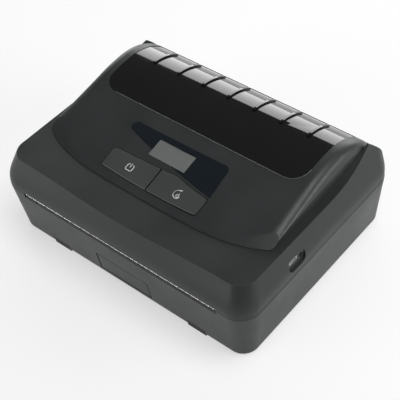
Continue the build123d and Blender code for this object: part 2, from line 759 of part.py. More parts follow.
def make_latch():
    """The release latch: the front tab, two ribs, a cross bar and a hook at each end."""
    tab = block(-LATCH_HALF, LATCH_HALF, -1, 3.6, LATCH_Z0, LATCH_Z1)
    tab &= base_body(0.0, BASE_BOTTOM, SEAM)
    tab = fillet(tab.faces().sort_by(Axis.Y)[0].edges(), 0.5)
    latch = tab + block(-12, 12, 3.4, LATCH_BAR_Y0, 6.0, 13.0)
    latch += block(-63, 63, LATCH_BAR_Y0, LATCH_BAR_Y1, 9.0, 12.5)
    for side in (-1, 1):
        x = side * 62.2
        latch += block(x - 1.5, x + 1.5, LATCH_BAR_Y0, LATCH_BAR_Y1, 9.0, 33.6)
        latch += block(x - 1.5, x + 1.5, 3.9, LATCH_BAR_Y1, 32.6, 33.6)
    return latch


def make_latch_springs():
    springs = []
    for x in (-8.0, 8.0):
        spring = coil(1.3, 0.2, LATCH_STOP_Y - LATCH_BAR_Y1, 5)
        springs.append(Pos(x, back(LATCH_BAR_Y1), 10.7) * Rot(-90, 0, 0) * spring)
    return Compound(children=springs)


def make_hinge_pins():
    pins = []
    for centre in HINGE_CENTRES:
        spans = knuckle_spans(centre)
        pins.append(rod_x(spans[0][0], spans[2][1], HINGE_Y, SEAM, PIN_RADIUS))
    return Compound(children=pins)


def make_upper_housing():
    z0 = SEAM + SEAM_GAP / 2
    shell = lid_body(0.0, z0) & crest_profile(0.0, z0)
    shell -= lid_body(WALL, z0 - 0.5) & crest_profile(WALL, z0 - 0.5)
    # Seat for the raised panel, and the opening below it
    shell -= panel_plan(0.0, SHOULDER, CROWN_Z + 6)
    shell -= block(-63.8, 63.8, 36.5, 106.5, SEAM, SHOULDER + 1)
    shell -= block(-32.0, 32.0, 22.5, 37.0, SEAM, SHOULDER + 1)
    # The tear bar's rebate along the front edge
    shell -= block(-SLOT_HALF, SLOT_HALF, -1, WALL + 1.0, SEAM - 1, SEAM + 1.0)
    # Socket bay in the right side
    bay = block(WIDTH / 2 - PORT_DEPTH - 0.6, WIDTH / 2 + 3, PORT_Y0, PORT_Y1, PORT_Z0, PORT_Z1)
    bay = fillet(bay.edges().filter_by(Axis.X), 3.2)
    shell -= bay
    shell -= block(WIDTH / 2 - 6, WIDTH / 2 + 1, 33.8, 39.6, 38.2, 40.6)
    shell -= rod_x(WIDTH / 2 - 6, WIDTH / 2 + 1, 42.0, 38.6, 1.5)
    # The lid's hinge knuckles, with room for the base's on each side
    for centre in HINGE_CENTRES:
        left, middle, right = knuckle_spans(centre)
        shell -= rod_x(left[0] - 0.3, right[1] + 0.3, HINGE_Y, SEAM, HINGE_RADIUS + 0.4)
        shell += rod_x(middle[0], middle[1], HINGE_Y, SEAM, HINGE_RADIUS)
        shell += block(middle[0], middle[1], DEPTH - WALL - 0.8, HINGE_Y, SEAM + 0.2, SEAM + 4.0)
        shell -= rod_x(left[0] - 1, right[1] + 1, HINGE_Y, SEAM, PIN_RADIUS + FIT)
    # Catches for the latch hooks, and two posts that carry the head's pivot
    for side in (-1, 1):
        x = side * 62.2
        shell += block(x - 1.5, x + 1.5, 1.2, 3.6, 31.6, 34.0)
        post = side * 60.0
        shell += block(post - 1.5, post + 1.5, 30.8, 35.2, 35.6, SHOULDER - 0.5)
        shell -= rod_x(post - 2, post + 2, HEAD_PIVOT_Y, HEAD_PIVOT_Z, 1.2 + FIT)
    return shell


def make_tear_bar():
    """A thin steel strip along the lid's front edge, with saw teeth below."""
    bar = block(-SLOT_HALF + 0.1, SLOT_HALF - 0.1, 0.3, WALL + 0.9, SEAM + 0.3, SEAM + 1.0)
    teeth = []
    pitch = 2.0
    count = int(2 * (SLOT_HALF - 1.5) / pitch)
    start = -count * pitch / 2
    points = [(start, back(0.4))]
    for index in range(count):
        points.append((start + (index + 0.5) * pitch, back(0.05)))
        points.append((start + (index + 1) * pitch, back(0.4)))
    with BuildSketch(Plane.XY.offset(SEAM + 0.3)) as sketch:
        with BuildLine():
            Polyline(*points, (points[-1][0], back(0.8)), (points[0][0], back(0.8)), close=True)
        make_face()
    return bar + extrude(sketch.sketch, 0.5)


def make_top_panel():
    panel = rounded_hump()
    hollow = hump_profile(PANEL_THICK, SHOULDER - 1, PANEL_HALF - PANEL_THICK)
    panel -= hollow & panel_plan(-PANEL_THICK, SHOULDER - 2, CROWN_Z + 5)
    # Window opening, with a ledge under the window's edge
    rear = back_point(0.0, SHOULDER + 3.0)
    sill = back_point(0.0, SHOULDER + 5.0)
    ledge = hump_profile(WINDOW_SINK + WINDOW_THICK, SHOULDER - 1, WIDTH)
    panel -= window_plan(0.15, SHOULDER, rear + 0.15) - ledge
    panel -= window_plan(-2.0, SHOULDER, sill)
    # Display and keys
    panel -= on_slope(lens_face(0.1), -0.9, 3)
    panel -= on_slope(screen_face(0.1), -5, 3)
    between_keys = Pos(-0.35, 10.8) * Rectangle(1.6, 12.4)
    for face in (power_face(BUTTON_GAP), feed_face(BUTTON_GAP), between_keys):
        panel -= on_slope(face, -5, 3)
    return panel


def make_window():
    rear = back_point(0.0, SHOULDER + 3.0)
    under = hump_profile(WINDOW_SINK + WINDOW_THICK, SHOULDER - 2, WIDTH)
    window = (hump_profile(WINDOW_SINK, SHOULDER - 1, WIDTH) - under) & window_plan(0.0, SHOULDER, rear)
    rib_low = hump_profile(WINDOW_SINK + 0.4, SHOULDER - 1, WIDTH)
    rib_high = hump_profile(WINDOW_SINK - RIB_PROUD, SHOULDER + 4, WIDTH)
    for index in range(RIB_COUNT):
        x = (index - (RIB_COUNT - 1) / 2) * RIB_PITCH
        strip = block(x - RIB_WIDTH / 2, x + RIB_WIDTH / 2, CROWN_Y + 2.3, rear - 4, SHOULDER, CROWN_Z + 3)
        window += (rib_high & strip) - rib_low
    return window


def make_lens():
    return on_slope(lens_face(0.0) - screen_face(0.1), -0.9, 0.15)


def make_display_frame():
    """The sheet metal frame that holds the display cell under the panel."""
    frame = on_slope(Pos(SCREEN_X, SCREEN_Y + 0.8) * Rectangle(26.0, 13.4), -4.8, -2.4)
    return frame - on_slope(screen_face(0.0), -4.0, 1)


def make_display_cell():
    return on_slope(screen_face(0.0), -4.0, 0.05)


def make_key(face, wide_face, low_x, high_x):
    """A key cap: the face that shows, and a flange below the panel that keeps it in."""
    cap = on_slope(face, -2.4, 0.35)
    cap = chamfer(cap.faces().sort_by(Axis.Z)[-1].edges(), 0.25)
    span = Pos((low_x + high_x) / 2, 10) * Rectangle(high_x - low_x, 40)
    return cap + on_slope(wide_face & span, -3.2, -2.4)


def make_key_membrane():
    """The silicone sheet under the keys, with a dome for each."""
    sheet = slope_plane(-6.0) * (Pos(0, 10.6, 0.4) * Box(52, 9.0, 0.8))
    for x in (-14.5, 14.5):
        dome = slope_plane(-5.2) * (Pos(x, 10.6, 0.45) * Cone(2.6, 1.8, 0.9))
        sheet += dome
    return sheet


def make_panel_board():
    return slope_plane(-7.2) * (Pos(0, 17.5, 0.55) * Box(60, 27.0, 1.1))


def make_main_board():
    board = block(-40.0, 71.0, 36.0, 48.5, BOARD_Z0, BOARD_Z1)
    board += block(-10.0, 2.0, 36.5, 46.0, BOARD_Z0 - 1.6, BOARD_Z0)
    board += block(14.0, 23.0, 37.0, 46.0, BOARD_Z0 - 1.2, BOARD_Z0)
    board += block(-36.0, -22.0, 38.0, 44.0, BOARD_Z0 - 4.0, BOARD_Z0)
    for x in (32.0, 38.0, 44.0):
        board += rod_z(x, 41.0, BOARD_Z0 - 4.0, BOARD_Z0, 2.2)
    return board


def make_usb_socket():
    socket = block(65.5, 71.6, 34.0, 39.4, 38.4, BOARD_Z0)
    socket += block(71.0, 74.3, 34.0, 39.4, 38.4, 40.4)
    socket -= block(69.0, 76.0, 34.4, 39.0, 38.8, 40.0)
    socket += block(68.8, 73.4, 35.4, 38.0, 39.25, 39.55)
    return socket


def make_power_jack():
    jack = block(65.5, 71.6, 39.9, 44.1, 36.6, BOARD_Z0)
    jack += rod_x(71.0, 74.2, 42.0, 38.6, 1.4)
    jack -= rod_x(67.5, 76.0, 42.0, 38.6, 1.1)
    jack += rod_x(67.0, 73.6, 42.0, 38.6, 0.4)
    return jack


def make_head_bracket():
    """The sprung arm that carries the head, with a pivot pin at each end."""
    bracket = block(-HEAD_HALF, HEAD_HALF, 9.0, 33.0, 35.6, 36.8)
    for side in (-1, 1):
        x = side * (HEAD_HALF - 1)
        bracket += block(x - 1, x + 1, 29.0, 34.5, 35.6, 39.5)
        x0, x1 = sorted((side * (HEAD_HALF - 2), side * 61.8))
        bracket += rod_x(x0, x1, HEAD_PIVOT_Y, HEAD_PIVOT_Z, 1.2)
    for x in (-SPRING_X, SPRING_X):
        bracket += rod_z(x, 14.0, 36.8, 38.2, 1.4)
    return bracket


def make_heat_sink():
    sink = block(-HEAD_HALF, HEAD_HALF, 9.0, 24.0, 32.4, 35.6)
    for index in range(10):
        x = -45.0 + 10 * index
        sink -= block(x - 1.5, x + 1.5, 15.5, 24.5, 33.4, 36.0)
    return sink


def make_print_head():
    head = block(-54.0, 54.0, 10.0, 23.0, HEAD_BOTTOM + 0.25, 32.4)
    head += block(-53.0, 53.0, PLATEN_Y - 1.0, PLATEN_Y + 1.0, HEAD_BOTTOM, HEAD_BOTTOM + 0.25)
    return head


def make_head_springs():
    springs = []
    for x in (-SPRING_X, SPRING_X):
        springs.append(Pos(x, back(14.0), 36.9) * coil(2.2, 0.35, 8.0, 6))
    return Compound(children=springs)


def save(name, shape):
    shape.label = name
    export_step(shape, f"parts/{name}.step")
    print(name, round(shape.volume, 1))


os.makedirs("parts", exist_ok=True)

save("base_shell", make_base_shell())
save("base_screws", make_base_screws())
save("rubber_feet", make_feet())
save("battery_pack", make_battery())
save("battery_contacts", make_battery_contacts())
save("mechanism_frame", make_mechanism_frame())
save("platen_bushes", make_bushes())
save("platen_shaft", make_platen_shaft())
save("platen_rubber", make_platen_rubber())
platen_gear, idler_gear, motor_pinion = make_gears()
save("platen_gear", platen_gear)
save("idler_gear", idler_gear)
save("motor_pinion", motor_pinion)
save("feed_motor", make_motor())
save("motor_shaft", make_motor_shaft())
save("exit_chute", make_exit_chute())
save("media_sensor", make_media_sensor())
save("roll_tray", make_roll_tray())
save("guide_left", make_guide(-1))
save("guide_right", make_guide(1))
save("guide_pinion", make_guide_pinion())
save("guide_rail", make_guide_rail())
save("release_latch", make_latch())
save("latch_springs", make_latch_springs())
save("hinge_pins", make_hinge_pins())
save("upper_housing", make_upper_housing())
save("tear_bar", make_tear_bar())
save("top_panel", make_top_panel())
save("roll_window", make_window())
save("display_lens", make_lens())
save("display_frame", make_display_frame())
save("display_cell", make_display_cell())
save("power_button", make_key(power_face(0.0), power_face(1.0), -40.0, -0.6))
save("feed_button", make_key(feed_face(0.0), feed_face(1.0), -0.1, 40.0))
save("key_membrane", make_key_membrane())
save("panel_board", make_panel_board())
save("main_board", make_main_board())
save("usb_socket", make_usb_socket())
save("power_jack", make_power_jack())
save("head_bracket", make_head_bracket())
save("head_heat_sink", make_heat_sink())
save("print_head", make_print_head())
save("head_springs", make_head_springs())
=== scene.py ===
# %% [markdown]
# # A portable label printer
#
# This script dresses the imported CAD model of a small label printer.
# The CAD bodies arrive as a fixed frame in metres, and every new piece is made in that same frame.
# X runs left to right, Y runs from the front to the back, and Z is up.

import json
import math

import bpy
from mathutils import Matrix, Vector


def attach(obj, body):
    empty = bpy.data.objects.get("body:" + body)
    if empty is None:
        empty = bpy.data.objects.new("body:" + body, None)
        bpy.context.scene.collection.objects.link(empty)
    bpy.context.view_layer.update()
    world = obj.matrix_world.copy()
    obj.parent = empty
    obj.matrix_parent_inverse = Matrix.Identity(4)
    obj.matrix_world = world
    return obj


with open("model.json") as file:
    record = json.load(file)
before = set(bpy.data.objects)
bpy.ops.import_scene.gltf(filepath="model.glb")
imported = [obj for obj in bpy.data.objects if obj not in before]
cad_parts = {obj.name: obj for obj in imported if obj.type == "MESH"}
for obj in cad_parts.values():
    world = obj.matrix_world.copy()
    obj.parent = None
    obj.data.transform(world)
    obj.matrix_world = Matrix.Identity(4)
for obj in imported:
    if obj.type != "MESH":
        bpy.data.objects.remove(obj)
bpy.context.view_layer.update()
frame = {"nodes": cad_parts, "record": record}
nodes = frame["nodes"]

# %% [markdown]
# ## Sizes taken from the CAD
#
# The slope of the top panel carries the display and the two keys.
# Its angle and starting line are repeated here, so that a point on the slope can be given by two numbers:
# u across the printer, and v up the slope from the panel's front edge, both in millimetres.

# %% Sizes and the slope's own coordinates
MM = 0.001
FRONT_Y = -59.2
SLOPE = math.radians(13.0)
CROWN_Y = 84.2
CROWN_Z = 60.4
RISE_RADIUS = 80.0
BACK_RADIUS = 31.8
SLOPE_LOW_Z = 47.8

slope_along = Vector((0, math.cos(SLOPE), math.sin(SLOPE)))
slope_out = Vector((0, -math.sin(SLOPE), math.cos(SLOPE)))


def slope_start():
    """Y, from the front face, where the slope's line crosses its lowest level."""
    join_y = CROWN_Y - RISE_RADIUS * math.sin(SLOPE)
    join_z = CROWN_Z - RISE_RADIUS + RISE_RADIUS * math.cos(SLOPE)
    return join_y - (join_z - SLOPE_LOW_Z) / math.tan(SLOPE)


def on_slope(u, v, out=0.0):
    """A point on the panel's slope in metres, lifted out from it by some millimetres."""
    origin = Vector((0, FRONT_Y + slope_start(), SLOPE_LOW_Z))
    return (origin + Vector((u, 0, 0)) + slope_along * v + slope_out * out) * MM


def at(x, y, z):
    """A point in metres from millimetres, with y measured from the front face."""
    return Vector((x, FRONT_Y + y, z)) * MM


print("slope starts at", round(slope_start(), 2), "mm behind the front")

# %% [markdown]
# ## Camera
#
# The camera stands in front of the right corner and looks down by 47 degrees, as in the photograph.
# Its place was solved from the outlines of the slot, the seam, the shoulder and the base.

# %% Camera
CAMERA_AZIMUTH = 44.07
CAMERA_ELEVATION = 46.64
CAMERA_ROLL = -6.37
CAMERA_DISTANCE = 0.48254
CAMERA_TARGET = Vector((0.01196, -0.0117, 0.030))
CAMERA_LENS = 91.25


def make_camera():
    """A camera placed by its azimuth, elevation, roll and distance from a target point."""
    azimuth = math.radians(CAMERA_AZIMUTH)
    elevation = math.radians(CAMERA_ELEVATION)
    roll = math.radians(CAMERA_ROLL)
    level = math.cos(elevation)
    back = Vector((math.sin(azimuth) * level, -math.cos(azimuth) * level, math.sin(elevation)))
    right = Vector((math.cos(azimuth), math.sin(azimuth), 0))
    up = back.cross(right)
    turned_right = right * math.cos(roll) + up * math.sin(roll)
    turned_up = -right * math.sin(roll) + up * math.cos(roll)
    data = bpy.data.cameras.new("camera")
    data.sensor_width = 36
    data.lens = CAMERA_LENS
    camera = bpy.data.objects.new("camera", data)
    bpy.context.scene.collection.objects.link(camera)
    axes = Matrix((turned_right, turned_up, back)).transposed().to_4x4()
    camera.matrix_world = Matrix.Translation(CAMERA_TARGET + back * CAMERA_DISTANCE) @ axes
    bpy.context.scene.camera = camera
    return camera


print("camera", [round(v, 4) for v in make_camera().location])

# %% [markdown]
# ## Floor and light
#
# The floor is plain and pale, and it is lifted towards white at a strength of one.
# The lift is the same for the camera, for reflections and for clear plastic, so they all show
# one floor, and part of the paper's own shading stays, which keeps the printer's shadow.
# The sky is one soft gradient, dimmer overhead, and it is the same for every kind of ray.
# Four soft lamps do the rest. The long one behind puts the pale band on the window's round back,
# and the others stay out of the part of the sky that the flat top reflects, so it stays dark.

# %% Floor and light
scene = bpy.context.scene
scene.view_settings.view_transform = "Standard"


def node_tree(owner):
    """The empty node tree of a material or a world."""
    owner.use_nodes = True
    tree = owner.node_tree
    tree.nodes.clear()
    return tree


SKY_LOW = 0.5
SKY_HIGH = 0.12


def ramp_between(tree, value, low, high, at_low, at_high):
    """A value that goes from one level to another as its input goes from low to high."""
    span = tree.nodes.new("ShaderNodeMapRange")
    for socket, number in zip(("From Min", "From Max", "To Min", "To Max"), (low, high, at_low, at_high)):
        span.inputs[socket].default_value = number
    tree.links.new(value, span.inputs["Value"])
    return span.outputs["Result"]


def maths(tree, operation, a, b):
    """One math node. Each input is a socket or a plain number."""
    node = tree.nodes.new("ShaderNodeMath")
    node.operation = operation
    for index, value in enumerate((a, b)):
        if isinstance(value, (int, float)):
            node.inputs[index].default_value = value
        else:
            tree.links.new(value, node.inputs[index])
    return node.outputs["Value"]


def make_world():
    """A plain studio sky, brighter at the horizon than overhead, the same for every ray."""
    world = bpy.data.worlds.new("studio")
    scene.world = world
    tree = node_tree(world)
    new, join = tree.nodes.new, tree.links.new
    coords = new("ShaderNodeTexCoord")
    split = new("ShaderNodeSeparateXYZ")
    sky = new("ShaderNodeBackground")
    out = new("ShaderNodeOutputWorld")
    join(coords.outputs["Generated"], split.inputs["Vector"])
    join(ramp_between(tree, split.outputs["Z"], 0.0, 0.5, SKY_LOW, SKY_HIGH), sky.inputs["Strength"])
    join(sky.outputs["Background"], out.inputs["Surface"])
    return world


FLOOR_WHITE = 0.94
FLOOR_LIFT = 0.55


def make_floor():
    """A wide plain sheet of paper with a faint grain, lifted towards white."""
    bpy.ops.mesh.primitive_plane_add(size=4.0)
    floor = bpy.context.object
    floor.name = "floor"
    material = bpy.data.materials.new("floor_paper")
    tree = node_tree(material)
    new, join = tree.nodes.new, tree.links.new
    coords = new("ShaderNodeTexCoord")
    grain = new("ShaderNodeTexNoise")
    grain.inputs["Scale"].default_value = 900
    bump = new("ShaderNodeBump")
    bump.inputs["Strength"].default_value = 0.05
    bump.inputs["Distance"].default_value = 0.0002
    paper = new("ShaderNodeBsdfDiffuse")
    paper.inputs["Color"].default_value = (FLOOR_WHITE, FLOOR_WHITE, FLOOR_WHITE, 1)
    join(coords.outputs["Object"], grain.inputs["Vector"])
    join(grain.outputs["Fac"], bump.inputs["Height"])
    join(bump.outputs["Normal"], paper.inputs["Normal"])
    # The lift: white at a strength of one, seen alike by the camera, in reflections and through glass
    path = new("ShaderNodeLightPath")
    seen = maths(tree, "MAXIMUM", path.outputs["Is Camera Ray"], path.outputs["Is Glossy Ray"])
    seen = maths(tree, "MAXIMUM", seen, path.outputs["Is Transmission Ray"])
    white = new("ShaderNodeEmission")
    lifted = new("ShaderNodeMixShader")
    out = new("ShaderNodeOutputMaterial")
    join(maths(tree, "MULTIPLY", seen, FLOOR_LIFT), lifted.inputs["Fac"])
    join(paper.outputs["BSDF"], lifted.inputs[1])
    join(white.outputs["Emission"], lifted.inputs[2])
    join(lifted.outputs["Shader"], out.inputs["Surface"])
    floor.data.materials.append(material)
    return floor


def area_light(name, place, aim, width, height, power, colour=(1, 1, 1)):
    """A soft rectangular light that points at a place."""
    data = bpy.data.lights.new(name, "AREA")
    data.shape = "RECTANGLE"
    data.size = width
    data.size_y = height
    data.energy = power
    data.color = colour
    light = bpy.data.objects.new(name, data)
    light.location = place
    light.rotation_mode = "QUATERNION"
    light.rotation_quaternion = (Vector(aim) - Vector(place)).to_track_quat("-Z", "Y")
    scene.collection.objects.link(light)
    return light


make_world()
make_floor()
area_light("top_light", (0.45, 0.1, 1.4), (0, 0, 0), 0.9, 0.9, 13.0)
area_light("rear_light", (-0.58, 1.0, 0.34), (0, 0, 0.05), 1.7, 0.66, 11.0)
area_light("right_light", (0.95, 0.45, 0.38), (0, 0, 0.02), 0.8, 0.5, 6.0)
area_light("front_light", (-0.6, -1.1, 0.30), (0, 0, 0.04), 1.2, 0.5, 6.5)

# %% [markdown]
# ## Materials
#
# Every material is made from nodes, in real sizes.
# The moulded plastics share one recipe: a fine spark-eroded grain as bump, a slow variation in
# roughness where hands have polished them, and edges worn a little lighter.

# %% Material recipes
GRAIN_DEPTH = 0.00004
SCRATCH_DEPTH = 0.00002
PATCH_SCALE = 38
SMUDGE_SCALE = 55
WORN_RADIUS = 0.0006
WORN_FROM = 0.995
WORN_FULLY = 0.90


def moulded(name, colour, rough, grain=0.35, grain_size=0.35, wear=0.35, specular=0.5):
    """Moulded plastic: a grain bump of a given size in millimetres, handling marks and worn edges."""
    material = bpy.data.materials.new(name)
    tree = node_tree(material)
    new, join = tree.nodes.new, tree.links.new
    coords = new("ShaderNodeTexCoord")
    shader = new("ShaderNodeBsdfPrincipled")
    shader.inputs["Specular IOR Level"].default_value = specular
    out = new("ShaderNodeOutputMaterial")
    join(shader.outputs["BSDF"], out.inputs["Surface"])
    # Fine grain
    cells = new("ShaderNodeTexNoise")
    cells.inputs["Scale"].default_value = 1000.0 / grain_size
    cells.inputs["Detail"].default_value = 3
    bump = new("ShaderNodeBump")
    bump.inputs["Strength"].default_value = grain
    bump.inputs["Distance"].default_value = GRAIN_DEPTH
    join(coords.outputs["Object"], cells.inputs["Vector"])
    join(cells.outputs["Fac"], bump.inputs["Height"])
    join(bump.outputs["Normal"], shader.inputs["Normal"])
    # Handling marks: slow patches in roughness
    patches = new("ShaderNodeTexNoise")
    patches.inputs["Scale"].default_value = PATCH_SCALE
    patches.inputs["Detail"].default_value = 5
    join(coords.outputs["Object"], patches.inputs["Vector"])
    patchy = ramp_between(tree, patches.outputs["Fac"], 0.3, 0.7, rough - 0.06, rough + 0.07)
    join(patchy, shader.inputs["Roughness"])
    # Edge wear: where a rounded normal departs from the real one
    bevel = new("ShaderNodeBevel")
    bevel.inputs["Radius"].default_value = WORN_RADIUS
    geometry = new("ShaderNodeNewGeometry")
    compare = new("ShaderNodeVectorMath")
    compare.operation = "DOT_PRODUCT"
    mix = new("ShaderNodeMix")
    mix.data_type = "RGBA"
    join(bevel.outputs["Normal"], compare.inputs[0])
    join(geometry.outputs["Normal"], compare.inputs[1])
    worn = ramp_between(tree, compare.outputs["Value"], WORN_FROM, WORN_FULLY, 0.0, wear)
    join(worn, mix.inputs["Factor"])
    # Colour: the pigment drifts a little between patches
    drift = new("ShaderNodeMix")
    drift.data_type = "RGBA"
    drift.inputs[6].default_value = (*[c * 0.93 for c in colour], 1)
    drift.inputs[7].default_value = (*[c * 1.07 for c in colour], 1)
    join(patches.outputs["Fac"], drift.inputs["Factor"])
    join(drift.outputs[2], mix.inputs[6])
    mix.inputs[7].default_value = (*[min(1, c * 2.2 + 0.02) for c in colour], 1)
    join(mix.outputs[2], shader.inputs["Base Color"])
    return material


def polished(name, colour, rough, coat=0.0):
    """Polished plastic with hairline scratches and a few soft smudges."""
    material = bpy.data.materials.new(name)
    tree = node_tree(material)
    new, join = tree.nodes.new, tree.links.new
    coords = new("ShaderNodeTexCoord")
    shader = new("ShaderNodeBsdfPrincipled")
    shader.inputs["Coat Weight"].default_value = coat
    out = new("ShaderNodeOutputMaterial")
    join(shader.outputs["BSDF"], out.inputs["Surface"])
    smudges = new("ShaderNodeTexNoise")
    smudges.inputs["Scale"].default_value = SMUDGE_SCALE
    smudges.inputs["Detail"].default_value = 6
    join(coords.outputs["Object"], smudges.inputs["Vector"])
    smudged = ramp_between(tree, smudges.outputs["Fac"], 0.45, 0.75, rough, rough + 0.08)
    join(smudged, shader.inputs["Roughness"])
    stretch = new("ShaderNodeMapping")
    stretch.inputs["Scale"].default_value = (60, 2400, 2400)
    stretch.inputs["Rotation"].default_value = (0, 0, 0.5)
    hairs = new("ShaderNodeTexNoise")
    hairs.inputs["Scale"].default_value = 1
    hairs.inputs["Detail"].default_value = 2
    bump = new("ShaderNodeBump")
    bump.inputs["Strength"].default_value = 0.04
    bump.inputs["Distance"].default_value = SCRATCH_DEPTH
    join(coords.outputs["Object"], stretch.inputs["Vector"])
    join(stretch.outputs["Vector"], hairs.inputs["Vector"])
    join(hairs.outputs["Fac"], bump.inputs["Height"])
    join(bump.outputs["Normal"], shader.inputs["Normal"])
    tint = new("ShaderNodeMix")
    tint.data_type = "RGBA"
    tint.inputs[6].default_value = (*colour, 1)
    tint.inputs[7].default_value = (*[c * 1.35 for c in colour], 1)
    join(smudges.outputs["Fac"], tint.inputs["Factor"])
    join(tint.outputs[2], shader.inputs["Base Color"])
    return material


def metal(name, colour, rough, along=(1, 1, 40), scale=60.0):
    """Metal with fine marks drawn out along one direction."""
    material = bpy.data.materials.new(name)
    tree = node_tree(material)
    new, join = tree.nodes.new, tree.links.new
    coords = new("ShaderNodeTexCoord")
    stretch = new("ShaderNodeMapping")
    stretch.inputs["Scale"].default_value = [a * scale for a in along]
    lines = new("ShaderNodeTexNoise")
    lines.inputs["Scale"].default_value = 1
    lines.inputs["Detail"].default_value = 4
    bump = new("ShaderNodeBump")
    bump.inputs["Strength"].default_value = 0.15
    bump.inputs["Distance"].default_value = SCRATCH_DEPTH
    tint = new("ShaderNodeMix")
    tint.data_type = "RGBA"
    tint.inputs[6].default_value = (*[c * 0.85 for c in colour], 1)
    tint.inputs[7].default_value = (*colour, 1)
    shader = new("ShaderNodeBsdfPrincipled")
    shader.inputs["Metallic"].default_value = 1
    out = new("ShaderNodeOutputMaterial")
    join(coords.outputs["Object"], stretch.inputs["Vector"])
    join(stretch.outputs["Vector"], lines.inputs["Vector"])
    drawn = ramp_between(tree, lines.outputs["Fac"], 0.0, 1.0, rough - 0.1, rough + 0.15)
    join(drawn, shader.inputs["Roughness"])
    join(lines.outputs["Fac"], bump.inputs["Height"])
    join(bump.outputs["Normal"], shader.inputs["Normal"])
    join(lines.outputs["Fac"], tint.inputs["Factor"])
    join(tint.outputs[2], shader.inputs["Base Color"])
    join(shader.outputs["BSDF"], out.inputs["Surface"])
    return material


print("recipes ready")

# %% [markdown]
# ## Dressing the CAD nodes
#
# Each node takes the material of its slot in the record.
# The two keys are moulded apart from the panel, in a slightly lighter grey, so they have their own.

# %% Materials by slot
looks = {
    "lower_shell": moulded("lower_shell_grain", (0.024, 0.027, 0.0265), 0.44, specular=0.34),
    "upper_shell": moulded("upper_shell_grain", (0.017, 0.0205, 0.0197), 0.42, specular=0.36),
    "panel": moulded("panel_grain", (0.021, 0.0235, 0.0240), 0.40, wear=0.12, specular=0.38),
    "smoked_window": polished("smoked_acrylic", (0.006, 0.006, 0.006), 0.05, 0.3),
    "lens": polished("lens_acrylic", (0.006, 0.009, 0.012), 0.12),
    "display": polished("display_glass", (0.115, 0.122, 0.118), 0.3),
    "steel": metal("turned_steel", (0.56, 0.56, 0.57), 0.3, (40, 1, 1)),
    "plated_steel": metal("plated_sheet", (0.62, 0.62, 0.61), 0.35, (1, 40, 1)),
    "aluminium": metal("extruded_aluminium", (0.72, 0.72, 0.73), 0.38, (1, 40, 40)),
    "brass": metal("cut_brass", (0.75, 0.56, 0.28), 0.3, (1, 40, 1)),
    "motor_can": metal("motor_can", (0.42, 0.42, 0.43), 0.42, (1, 30, 30)),
    "black_plastic": moulded("black_moulding", (0.02, 0.02, 0.021), 0.5),
    "white_plastic": moulded("natural_acetal", (0.70, 0.69, 0.64), 0.38, grain=0.1, wear=0.1),
    "guide": moulded("guide_moulding", (0.07, 0.08, 0.09), 0.45),
    "battery": moulded("battery_case", (0.025, 0.025, 0.027), 0.5),
    "rubber": moulded("foot_rubber", (0.02, 0.02, 0.02), 0.8, grain=0.7, wear=0.1),
    "platen_rubber": moulded("ground_rubber", (0.035, 0.035, 0.036), 0.7, grain=0.5, grain_size=0.2),
    "silicone": moulded("grey_silicone", (0.35, 0.35, 0.35), 0.6, grain=0.1, wear=0.0),
    "circuit_board": moulded("solder_mask", (0.012, 0.09, 0.035), 0.25, grain=0.15, grain_size=0.8),
    "ceramic": polished("glazed_ceramic", (0.62, 0.60, 0.55), 0.15),
}

key_finish = moulded("key_grain", (0.038, 0.0395, 0.040), 0.46, grain=0.25, wear=0.2, specular=0.42)
own_looks = {"power_button": key_finish, "feed_button": key_finish}

slot_of = {part["node"]: part["material_slot"] for part in frame["record"]["subparts"]}
for name, node in nodes.items():
    node.data.materials.clear()
    node.data.materials.append(own_looks.get(name, looks[slot_of[name]]))
print("dressed", len(slot_of), "nodes with", len(looks), "materials")

# %% [markdown]
# ## Thin marks and lines on the slope
#
# The icons on the keys are printed, so they are thin flat ribbons that lie on the key tops.
# Each is drawn as a path in the slope's own coordinates and given a width.
# A flat ribbon was chosen over an image because it stays sharp and has a real place on its key.

# %% A ribbon along a path on the slope
KEY_TOP = 0.35
PRINT_LIFT = 0.015


def add_piece(name, verts, faces, body, material):
    """A mesh piece that rides on a body and takes the material it is given."""
    mesh = bpy.data.meshes.new(name)
    mesh.from_pydata([tuple(v) for v in verts], [], faces)
    mesh.materials.append(material)
    piece = bpy.data.objects.new(name, mesh)
    scene.collection.objects.link(piece)
    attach(piece, body)
    return piece


def ribbon_mesh(path, width, closed=False):
    """Side points of a flat ribbon of one width along a path of (u, v) points."""
    count = len(path)
    pairs = []
    for index, point in enumerate(path):
        before = path[(index - 1) % count] if closed or index > 0 else point
        after = path[(index + 1) % count] if closed or index < count - 1 else point
        run = Vector((after[0] - before[0], after[1] - before[1])).normalized()
        side = Vector((-run.y, run.x)) * width / 2
        middle = Vector(point)
        pairs.append((middle + side, middle - side))
    return pairs


def printed_mark(name, strokes, width, lift, body, material):
    """One piece made of ribbons. A stroke is a path, or a path that ends where it starts."""
    verts = []
    faces = []
    for stroke in strokes:
        closed = stroke[0] == stroke[-1]
        path = stroke[:-1] if closed else stroke
        pairs = ribbon_mesh(path, width, closed)
        base = len(verts)
        for one, other in pairs:
            verts.append(on_slope(one.x, one.y, lift))
            verts.append(on_slope(other.x, other.y, lift))
        steps = len(pairs) if closed else len(pairs) - 1
        for step in range(steps):
            a = base + 2 * step
            b = base + 2 * ((step + 1) % len(pairs))
            faces.append((a, b, b + 1, a + 1))
    return add_piece(name, verts, faces, body, material)


def arc(centre, radius, start, end, steps=12, squash=1.0):
    """Points along an arc, angles in degrees from +u towards +v."""
    points = []
    for step in range(steps + 1):
        angle = math.radians(start + (end - start) * step / steps)
        points.append((centre[0] + radius * math.cos(angle), centre[1] + radius * squash * math.sin(angle)))
    return points


print("ribbon tools ready")

